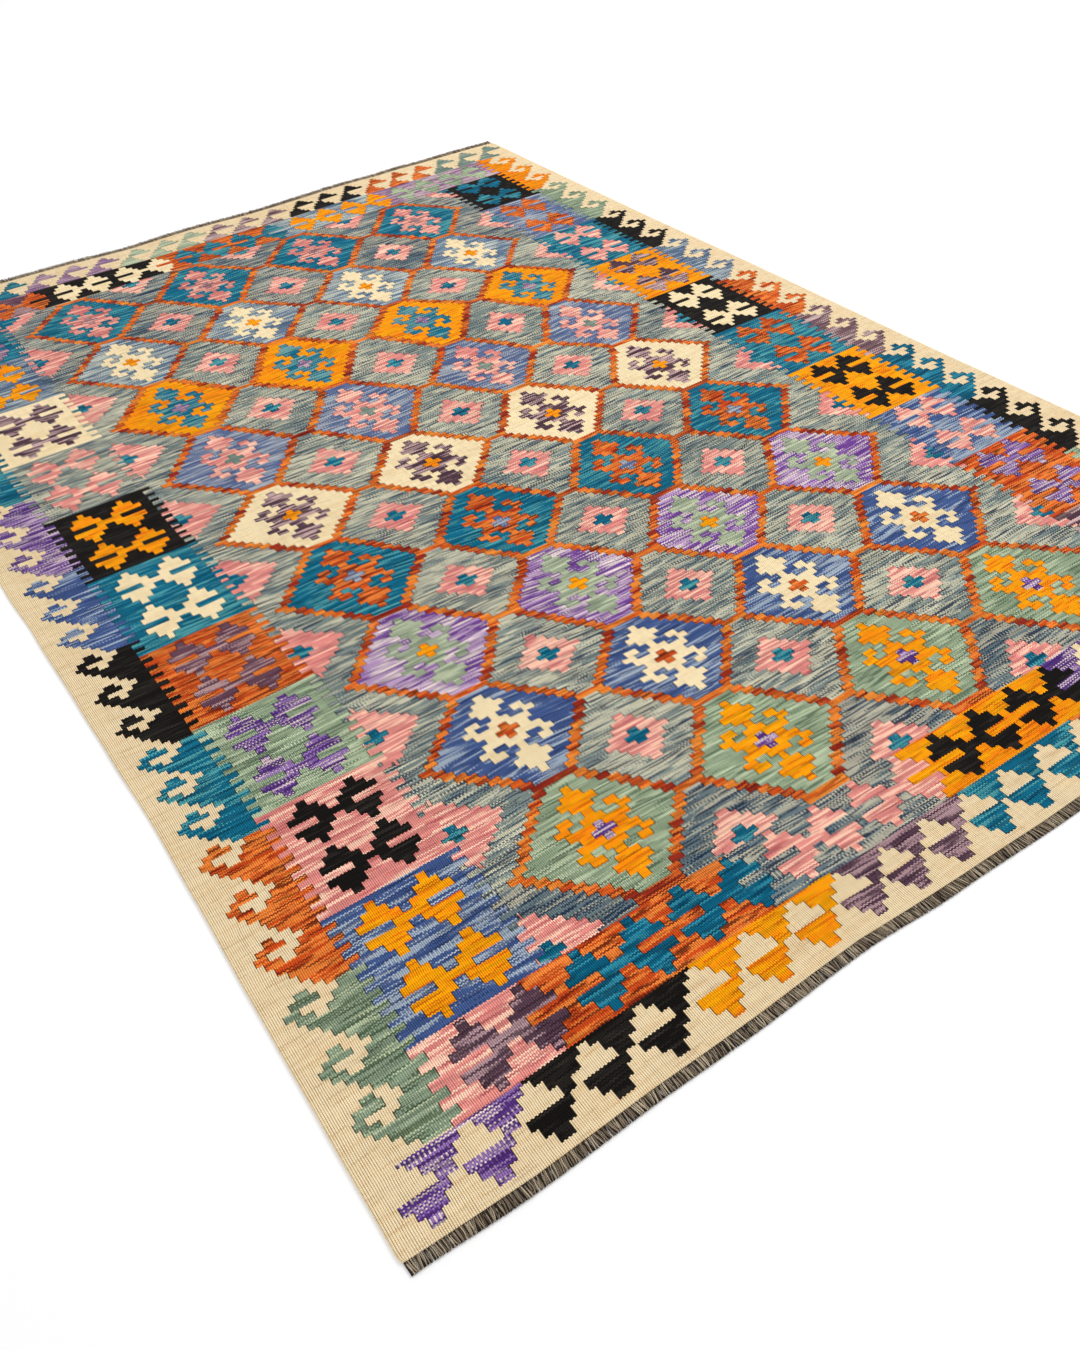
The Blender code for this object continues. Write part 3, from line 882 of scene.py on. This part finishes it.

# %% [markdown]
# ## Wool
#
# The weft is hand-spun wool: matt, a little hairy, and never one even colour. Seen from near by, each float
# is a small bead, 3.1 mm wide and 2.7 mm long, and each warp is a rib under a row of them. The gaps between
# lie in shade, above all the slits along the warps where two colours meet, and this shade is painted into
# the colour. A weft runs across the whole area, so a darker one shows as a streak; where the dyes of
# neighbouring wefts differ, every second rib is dark.
#
# Beads could be modelled, but 1.4 million of them are too many, and the eye only needs their shade and their
# bump: the shade is painted into the colour, and the bump bends the normals. The material therefore works
# out, for each point, which warp, which weft and which float it is on.


# %% A helper for nodes
def add_node(tree, kind, inputs=(), **settings):
    """Adds a node with its settings; a kind such as "Math ADD" gives the operation too.

    Inputs are given in order or by name: a node or a socket is linked, and a value is set.
    """
    kind, *operation = kind.split()
    node = tree.nodes.new("ShaderNode" + kind)
    if operation:
        node.operation = operation[0]
    for name, value in settings.items():
        setattr(node, name, value)
    for place, value in inputs.items() if isinstance(inputs, dict) else enumerate(inputs):
        if isinstance(value, bpy.types.Node):
            value = value.outputs[0]
        if isinstance(value, bpy.types.NodeSocket):
            tree.links.new(value, node.inputs[place])
        elif value is not None:
            node.inputs[place].default_value = value
    return node


def fill_steps(ramp, colours):
    """One even step of a ramp for each colour."""
    ramp.interpolation = "CONSTANT"
    while len(ramp.elements) < len(colours):
        ramp.elements.new(1.0)
    for number, (element, colour) in enumerate(zip(ramp.elements, colours)):
        element.position = number / len(colours)
        element.color = colour


# %% Which float a point is on
wool.use_nodes = True
tree = wool.node_tree
surface = tree.nodes["Principled BSDF"]
loom = add_node(tree, "SeparateXYZ", [add_node(tree, "UVMap", uv_map="loom")])
across_loom, along_loom = loom.outputs[0], loom.outputs[1]
warp = add_node(tree, "Math FLOOR", [across_loom])
half = add_node(tree, "Math MULTIPLY", [add_node(tree, "Math MODULO", [warp, 2.0]), 0.5])
staggered = add_node(tree, "Math ADD", [along_loom, half])
float_row = add_node(tree, "Math FLOOR", [staggered])
weft = add_node(tree, "Math SUBTRACT", [float_row, half])  # the float's place along the rug

# A float is of the area above if its middle lies on the top line of this one or past it. Wefts are whole
# numbers and halves, so a quarter more than the middle is never on a line.
here = add_node(tree, "Attribute", attribute_name="here")
above = add_node(tree, "Attribute", attribute_name="above")
top_line = add_node(tree, "SeparateXYZ", [above.outputs["Vector"]]).outputs[2]
past = add_node(tree, "Math GREATER_THAN", [add_node(tree, "Math ADD", [weft, 0.75]), top_line])
chosen = add_node(
    tree, "Mix", {0: past, 4: here.outputs["Vector"], 5: above.outputs["Vector"]}, data_type="VECTOR")
chosen = add_node(tree, "SeparateXYZ", [chosen.outputs[1]])
yarn_number, area_number = chosen.outputs[0], chosen.outputs[1]

# %% The dyes
shelf = add_node(tree, "Math ADD", [yarn_number, 0.5])
shelf = add_node(tree, "Math DIVIDE", [shelf, float(len(YARNS))])
main_dye, second_dye, line_dye, habit = (add_node(tree, "ValToRGB", [shelf]) for _ in range(4))
for number, ramp in enumerate((main_dye, second_dye, line_dye)):
    fill_steps(ramp.color_ramp, [linear(row[number]) for row in YARNS.values()])
fill_steps(habit.color_ramp, [row[3:] for row in YARNS.values()])
second_share, line_strength, line_frequency = add_node(tree, "SeparateColor", [habit.outputs[0]]).outputs
dotted = habit.outputs[1]
# Each warp shows every second weft. Where neighbouring wefts are dyed alike, a streak is a line over all
# warps; where they aren't, a warp takes its dye from another place than its neighbour, and the streak
# breaks up into dots.
apart = add_node(tree, "Math MULTIPLY", [dotted, 3.0])
pick = add_node(tree, "Math MULTIPLY_ADD", [half, apart, float_row])


def loom_noise(warps, bands, seed):
    """Smooth noise, one value for each float, that changes over so many warps and bands and with the area."""
    place = add_node(tree, "CombineXYZ", [
        add_node(tree, "Math MULTIPLY", [warp, 1 / warps]),
        add_node(tree, "Math MULTIPLY", [pick, 1 / bands]),
        add_node(tree, "Math MULTIPLY_ADD", [area_number, 0.73, seed]),
    ])
    return add_node(tree, "TexNoise", {"Vector": place, "Scale": 1.0, "Detail": 1.0, "Roughness": 0.6})


grain = add_node(tree, "TexWhiteNoise", [add_node(tree, "CombineXYZ", [warp, weft, 0.5])])  # float by float
weft_streak = loom_noise(38.0, 0.8, 41.0)    # 120 mm long and one float high
thin_streak = loom_noise(30.0, 2.1, 3.0)     # 90 mm long and 6 mm high
wide_streak = loom_noise(34.0, 5.0, 17.0)    # 100 mm long and 14 mm high
drift = loom_noise(90.0, 60.0, 29.0)         # 280 mm long and 160 mm high: another pot of dye
line_streak = loom_noise(24.0, 0.9, 71.0)    # 75 mm long and one float high
streak = 0.0
for noise, weight in (
        (weft_streak, 0.9), (thin_streak, 1.1), (wide_streak, 0.6), (drift, 0.5), (grain, 0.05)):
    streak = add_node(tree, "Math MULTIPLY_ADD", [noise, weight, streak])
# The noises add up to 1.575 on average. The share of the second dye sets how high they have to be.
bar = add_node(tree, "Math MULTIPLY_ADD", [second_share, -0.5, 1.825])
over = add_node(tree, "Math SUBTRACT", [streak, bar])
mixed = add_node(tree, "MapRange", [over, -0.05, 0.05, 0.0, 1.0], interpolation_type="SMOOTHSTEP")
common = add_node(tree, "Math MULTIPLY_ADD", [line_frequency, 0.12, line_streak])
line = add_node(tree, "MapRange", [common, 0.62, 0.69, 0.0, 1.0], interpolation_type="SMOOTHSTEP")
line = add_node(tree, "Math MULTIPLY", [line, line_strength])
dyed = main_dye.outputs[0]
for share, dye in ((mixed, second_dye), (line, line_dye)):
    dyed = add_node(tree, "Mix", {0: share, 6: dyed, 7: dye.outputs[0]}, data_type="RGBA").outputs[2]
print(len(YARNS), "yarns on each of four ramps")


# %% Ribs, beads and slits
def crown(value, power):
    """1 in the middle of a cell and 0 at its edges: 1 - |2 fract(v) - 1|^power."""
    part = add_node(tree, "Math FRACT", [value])
    part = add_node(tree, "Math MULTIPLY_ADD", [part, 2.0, -1.0])
    part = add_node(tree, "Math POWER", [add_node(tree, "Math ABSOLUTE", [part]), power])
    return add_node(tree, "Math SUBTRACT", [1.0, part])


rib = crown(across_loom, 2.4)
bead = crown(staggered, 3.0)
pit = add_node(tree, "Math MULTIPLY", [
    add_node(tree, "Math SUBTRACT", [1.0, rib]), add_node(tree, "Math SUBTRACT", [1.0, bead])])
slits = add_node(tree, "SeparateXYZ", [add_node(tree, "Attribute", attribute_name="slits").outputs["Vector"]])
slit = add_node(tree, "Math MINIMUM", [
    add_node(tree, "Math SUBTRACT", [across_loom, slits.outputs[0]]),
    add_node(tree, "Math SUBTRACT", [slits.outputs[1], across_loom])])
# how open a slit is: painted shade in the colour and a dip in the relief
open_slit = add_node(tree, "MapRange", [slit, 0.12, 0.40, 1.0, 0.0], interpolation_type="SMOOTHSTEP")


# %% Painted shade and value
def gap_shade(across_gap, along_gap, seed, most):
    """Painted shade on the lines across_gap = 0, 1, 2 and so on, deeper in some places than in others.

    A noise that changes from line to line, and after 35 cells along one, gives its depth up to a share.
    """
    place = add_node(tree, "CombineXYZ", [
        add_node(tree, "Math MULTIPLY", [add_node(tree, "Math ROUND", [across_gap]), 2.3]),
        add_node(tree, "Math MULTIPLY", [along_gap, 1 / 35]), seed])
    noise = add_node(tree, "TexNoise", {"Vector": place, "Scale": 1.0, "Detail": 1.0})
    depth = add_node(tree, "Math MULTIPLY", [add_node(tree, "MapRange", [noise, 0.46, 0.66, 0.0, 1.0]), most])
    lowest = add_node(tree, "Math SUBTRACT", [1.0, depth])
    return add_node(tree, "MapRange", [crown(across_gap, 1.6), 0.0, 0.55, lowest, 1.0])


# the darkest painted shade between ribs, float by float
rib_gap_shade = add_node(tree, "MapRange", [grain, 0.0, 1.0, 0.74, 0.24])
row_shade_depth = add_node(tree, "Math MULTIPLY", [line_frequency, 1.8], use_clamp=True)  # depth of the painted shade between rows, most in uneven yarns
# painted shade in the pits, deeper on some floats than on others
pit_shade_depth = add_node(tree, "MapRange", [pit, 0.0, 0.5, 0.0, 1.25])
pit_shade_depth = add_node(tree, "Math MULTIPLY", [pit_shade_depth, grain])
uneven = add_node(tree, "MapRange", [line_frequency, 0.0, 0.5, 0.08, 1.25])
lighter = add_node(tree, "Math MULTIPLY_ADD", [thin_streak, 0.7, weft_streak])
lighter = add_node(tree, "Math SUBTRACT", [lighter, 0.85])
lot = add_node(tree, "TexWhiteNoise", [None, area_number], noise_dimensions="1D")
# all the painted shade and the real tone, as one factor on the dyes
painted_shade_and_tone = 1.0
for factor in (
        add_node(tree, "MapRange", [rib, 0.0, 0.8, rib_gap_shade, 1.0]),         # painted shade between ribs
        add_node(tree, "MapRange", [bead, 0.0, 0.8, 0.85, 1.0]),       # painted shade between beads
        gap_shade(along_loom, warp, 5.0, row_shade_depth),                      # painted shade between rows that are beaten down less
        gap_shade(across_loom, weft, 9.0, 0.6),                        # painted shade between warps that stand apart
        add_node(tree, "MapRange", [pit_shade_depth, 0.0, 1.0, 1.0, 0.12]),  # painted shade where ribs and beads both end
        add_node(tree, "MapRange", [open_slit, 0.0, 1.0, 1.0, 0.26]),  # painted shade in the slits
        add_node(tree, "MapRange", [grain, 0.0, 1.0, 0.94, 1.06]),     # small differences float by float,
        add_node(tree, "Math MULTIPLY_ADD", [lighter, uneven, 1.0]),   # weft by weft
        add_node(tree, "MapRange", [lot, 0.0, 1.0, 1.12, 1.20])):      # and area by area
    painted_shade_and_tone = add_node(tree, "Math MULTIPLY", [painted_shade_and_tone, factor])
colour = add_node(tree, "VectorMath SCALE", {0: dyed, "Scale": painted_shade_and_tone})
tree.links.new(colour.outputs[0], surface.inputs["Base Color"])

# %% Relief and finish
# In millimetres: a rib stands 0.3 mm out, a bead 0.3 mm more, and a slit goes down 0.8 mm.
height = add_node(tree, "Math MULTIPLY_ADD", [bead, 0.3, 0.3])
height = add_node(tree, "Math MULTIPLY", [height, rib])
height = add_node(tree, "Math MULTIPLY_ADD", [open_slit, -0.8, height])
relief = add_node(tree, "Bump", {"Strength": 0.85, "Distance": 0.001, "Height": height})
tree.links.new(relief.outputs[0], surface.inputs["Normal"])
for name, value in (
        ("Roughness", 0.92), ("Specular IOR Level", 0.05), ("Sheen Weight", 0.01), ("Sheen Roughness", 0.5)):
    surface.inputs[name].default_value = value
print("the wool has", len(tree.nodes), "nodes")

# %% [markdown]
# ## The fringes
#
# When the rug is cut from the loom, its warps stay: two-ply ends of grey-brown wool with dark ones among
# them. They are cut to about 19 mm at the near end and 26 mm at the far one, lean either way and lie on the
# floor. Particle hair has no thickness of its own and doesn't export, so each end is a thin tube of a few
# faces. A lower layer of thicker ends fills the gaps, and its colour is darkened towards a dark brown as
# painted shade between the strands, which is how the fringe of the real rug looks so dense.

# %% One layer of warp ends
RINGS, SIDES = 5, 5                         # of each tube
ROOT = 0.0015                               # how far an end starts inside the cloth
ROOT_HEIGHT = 0.0017                        # the middle of the cloth


def warp_ends(end, number, radius, heights, lean, seed):
    """Tubes that run from an end of the cloth to the line of the tips.

    A point at share t of a tube: along by L t, sideways by lean t plus a bow of sin(pi t), and down from the
    cloth's middle to a height of its layer as (1 - t)^2. Round it, SIDES corners at the radius, which
    shrinks by a quarter to the tip.
    """
    random = np.random.default_rng(seed)
    outward = (-1, 1)[end]
    order = np.arange(number)
    spread = np.linspace(0.35, WARPS - 0.35, number) + random.uniform(-0.35, 0.35, number)
    spread = spread.clip(0.3, WARPS - 0.3)
    line = (0, -1)[end]
    root_x = np.interp(spread, warp_lines, across[line])
    root_y = np.interp(spread, warp_lines, along[line]) - outward * ROOT
    length = FRINGE_LENGTHS[end] + ROOT - random.uniform(0.0, 0.0007, number) - radius
    # neighbours lean together: random values at every tenth end, eased between, and some of each end's own
    common = eased(np.arange(0, number + 20, 10), random.normal(0.0, lean, number // 10 + 2), order)
    sideways = 0.25 * lean + common + random.normal(0.0, 0.5 * lean, number)
    sideways = sideways.clip(-2 * lean, 2 * lean)
    # the four outermost ends at each side lean inwards
    inwards = np.where(order < 4, 1, -1) * abs(sideways)
    sideways = np.where((order < 4) | (order > number - 5), inwards, sideways)
    bow = random.normal(0.0, 0.0009, number)
    rest = random.uniform(*heights, number)
    t = np.linspace(0.0, 1.0, RINGS)
    path = np.empty((number, RINGS, 3))
    path[..., 0] = ORIGIN[0] + root_x[:, None] + sideways[:, None] * t + bow[:, None] * np.sin(np.pi * t)
    path[..., 1] = ORIGIN[1] + root_y[:, None] + outward * length[:, None] * t
    path[..., 2] = rest[:, None] + (ROOT_HEIGHT - rest[:, None]) * (1 - t) ** 2
    ahead = unit(np.gradient(path, axis=1))
    side = unit(np.cross(ahead, (0.0, 0.0, 1.0)))
    up = np.cross(side, ahead)
    turn = np.linspace(0, 2 * np.pi, SIDES, endpoint=False)[:, None]
    width = radius * (1 - 0.25 * t ** 3) * random.uniform(0.85, 1.1, number)[:, None]
    ring = side[:, :, None] * np.cos(turn) + up[:, :, None] * np.sin(turn)
    return (path[:, :, None] + width[..., None, None] * ring).reshape(-1, 3)


def tube_faces(tubes):
    """Corners and sizes of the faces of so many tubes: quads between rings, and one cap at each end."""
    ring, side = np.meshgrid(np.arange(RINGS - 1), np.arange(SIDES), indexing="ij")
    here, beside = ring * SIDES + side, ring * SIDES + (side + 1) % SIDES
    quads = np.stack([here, beside, beside + SIDES, here + SIDES], -1)
    caps = np.stack([np.arange(SIDES)[::-1], (RINGS - 1) * SIDES + np.arange(SIDES)])
    one = np.concatenate([quads.ravel(), caps.ravel()])
    sizes = np.concatenate([np.full(len(quads) * SIDES, 4), np.full(2, SIDES)])
    starts = np.arange(tubes) * RINGS * SIDES
    return (starts[:, None] + one).ravel(), np.tile(sizes, tubes)


# %% The two fringes
LOWER_ENDS, UPPER_ENDS = 1250, 1150
LOWER_HEIGHTS = (0.0012, 0.0014)                      # lowest and highest tips
UPPER_HEIGHTS = ((0.0018, 0.0032), (0.0026, 0.0050))  # the same, near and far
LOWER_PAINTED_SHADE = (1.0, 0.6)                               # how much painted shade darkens the lower layer, near and far
spun = bpy.data.materials.new("hand-spun wool warp, cut")
face_corners, face_sizes = tube_faces(LOWER_ENDS + UPPER_ENDS)
strand, corner = np.divmod(face_corners, RINGS * SIDES)
round_and_along = np.stack([corner % SIDES / SIDES, corner // SIDES / (RINGS - 1)], 1)
strand_of_face = strand[np.cumsum(face_sizes) - face_sizes]
fringes = []
for end, name in enumerate(("fringe_near_ends", "fringe_far_ends")):
    lower = warp_ends(end, LOWER_ENDS, radius=0.00125, heights=LOWER_HEIGHTS, lean=0.0008, seed=31 + end)
    upper = warp_ends(end, UPPER_ENDS, radius=0.00086, heights=UPPER_HEIGHTS[end], lean=0.0030, seed=41 + end)
    fringe = mesh_object(name, np.concatenate([lower, upper]), face_corners, face_sizes, spun)
    # each corner knows how far round and along its strand it is, and each face its strand and its painted
    # shade
    strand_map = fringe.data.uv_layers.new(name="strand").data
    strand_map.foreach_set("uv", round_and_along.astype(np.float32).ravel())
    set_faces(fringe.data, "strand_number", strand_of_face, (strand_of_face < LOWER_ENDS) * LOWER_PAINTED_SHADE[end])
    fringes.append(fringe)
    print(name, "has", LOWER_ENDS + UPPER_ENDS, "strands and", int((face_sizes - 2).sum()), "triangles")

# %% [markdown]
# The warp is spun from undyed wool: light and dark hairs twisted together, so fine slanting lines run round
# each strand. The hairs are far too thin to show, so the twist is drawn as two light and two dark stripes.

# %% The warp's material
WARP_COLOURS = (
    "#8C7D69", "#A39480", "#B7A68D", "#6A5C4C", "#C8B99F", "#7A6B59", "#A99880", "#948570", "#54473A",
    "#85755F")
spun.use_nodes = True
tree = spun.node_tree
surface = tree.nodes["Principled BSDF"]
strand_place = add_node(tree, "SeparateXYZ", [add_node(tree, "UVMap", uv_map="strand")])
number = add_node(tree, "Attribute", attribute_name="strand_number").outputs["Vector"]
number = add_node(tree, "SeparateXYZ", [number])
own = add_node(tree, "TexWhiteNoise", [None, number.outputs[0]], noise_dimensions="1D")
wool_of_end = add_node(tree, "ValToRGB", [own])
fill_steps(wool_of_end.color_ramp, [linear(code) for code in WARP_COLOURS])
# the lower layer's wool is darkened towards a dark brown: painted shade between the strands
painted_shade_mix = add_node(
    tree, "Mix", {0: number.outputs[1], 6: wool_of_end.outputs[0], 7: linear("#2A221C")}, data_type="RGBA")
# the stripes turn four times round the strand from root to tip, and two of them lie side by side
twist = add_node(tree, "Math MULTIPLY_ADD", [strand_place.outputs[1], 4.0, strand_place.outputs[0]])
twist = add_node(tree, "Math SINE", [add_node(tree, "Math MULTIPLY", [twist, 2 * np.pi * 2])])
hairs = add_node(tree, "TexNoise", {
    "Vector": add_node(tree, "TexCoord").outputs["Object"], "Scale": 900.0, "Detail": 2.0})  # 1 mm
value = add_node(tree, "Math MULTIPLY_ADD", [twist, 0.22, 1.0])
value = add_node(tree, "Math MULTIPLY", [value, add_node(tree, "MapRange", [hairs, 0.3, 0.7, 0.75, 1.25])])
colour = add_node(tree, "VectorMath SCALE", {0: painted_shade_mix.outputs[2], "Scale": value})
tree.links.new(colour.outputs[0], surface.inputs["Base Color"])
relief = add_node(tree, "Bump", {"Strength": 0.6, "Distance": 0.0003, "Height": twist})
tree.links.new(relief.outputs[0], surface.inputs["Normal"])
surface.inputs["Roughness"].default_value = 0.9
surface.inputs["Specular IOR Level"].default_value = 0.25
print("the warp has", len(tree.nodes), "nodes")

# %% [markdown]
# ## Joining the imported model
#
# The cloth and the two fringes take the places of the imported model's three plain solids, and ride on its
# one body.

# %% Pieces and the floor
for piece, node, finish in (
        (cloth, "kilim_cloth", "wool_weave"), (fringes[0], "fringe_near", "warp_fringe"),
        (fringes[1], "fringe_far", "warp_fringe")):
    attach(piece, "root")
    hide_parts(node)
floor_mesh = bpy.data.meshes.new("floor")
floor_mesh.from_pydata([(-40, -40, 0), (40, -40, 0), (40, 40, 0), (-40, 40, 0)], [], [(0, 1, 2, 3)])
floor = bpy.data.objects.new("floor", floor_mesh)
bpy.context.scene.collection.objects.link(floor)
floor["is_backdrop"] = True

# %% [markdown]
# ## Floor, light and camera
#
# The rug lies on a plain white studio floor. A white surround lights it evenly, and one wide soft lamp at
# the far right makes that side a little brighter and brings out the ribs. The camera stands at the near
# left corner at the height of a person's chest and looks down along the rug.

# %% The floor
studio = bpy.data.materials.new("white studio floor, matt paint")
studio.use_nodes = True
paint = studio.node_tree.nodes["Principled BSDF"]
paint.inputs["Base Color"].default_value = (0.95, 0.95, 0.95, 1.0)
paint.inputs["Roughness"].default_value = 0.8
paint.inputs["Specular IOR Level"].default_value = 0.2
floor_mesh.materials.append(studio)

# %% The light
scene = bpy.context.scene
scene.world = bpy.data.worlds.new("studio")
scene.world.use_nodes = True
surround = scene.world.node_tree.nodes["Background"]
surround.inputs["Color"].default_value = (1.0, 1.0, 1.0, 1.0)
surround.inputs["Strength"].default_value = 0.86
lamp_data = bpy.data.lights.new("soft_lamp", "AREA")
lamp_data.shape = "SQUARE"
lamp_data.size = 2.5
lamp_data.energy = 230.0
lamp = bpy.data.objects.new("soft_lamp", lamp_data)
lamp.location = (5.0, 1.0, 4.5)
aim = Vector((0.3, 0.2, 0.0)) - lamp.location  # at the middle of the rug
lamp.rotation_euler = aim.to_track_quat("-Z", "Y").to_euler()
scene.collection.objects.link(lamp)
scene.view_settings.view_transform = "Standard"

# %% The camera
# the place and the turn that bring the rug's four edges to where the photograph has them
CAMERA_PLACE = (-1.0885, -2.0151, 1.335)
RIGHT_WAY = Vector((0.82246, -0.56618, -0.05475))  # in the picture
UP_WAY = Vector((0.41681, 0.53438, 0.73533))
camera_data = bpy.data.cameras.new("camera")
camera_data.lens = 31.47
camera_data.sensor_width = 36.0
camera = bpy.data.objects.new("camera", camera_data)
turn = Matrix((RIGHT_WAY, UP_WAY, RIGHT_WAY.cross(UP_WAY))).transposed()
camera.matrix_world = Matrix.Translation(CAMERA_PLACE) @ turn.to_4x4()
scene.collection.objects.link(camera)
scene.camera = camera

# %% Sizes
low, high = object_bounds()
print("the visual model reaches from", [round(x, 4) for x in low], "to", [round(x, 4) for x in high])
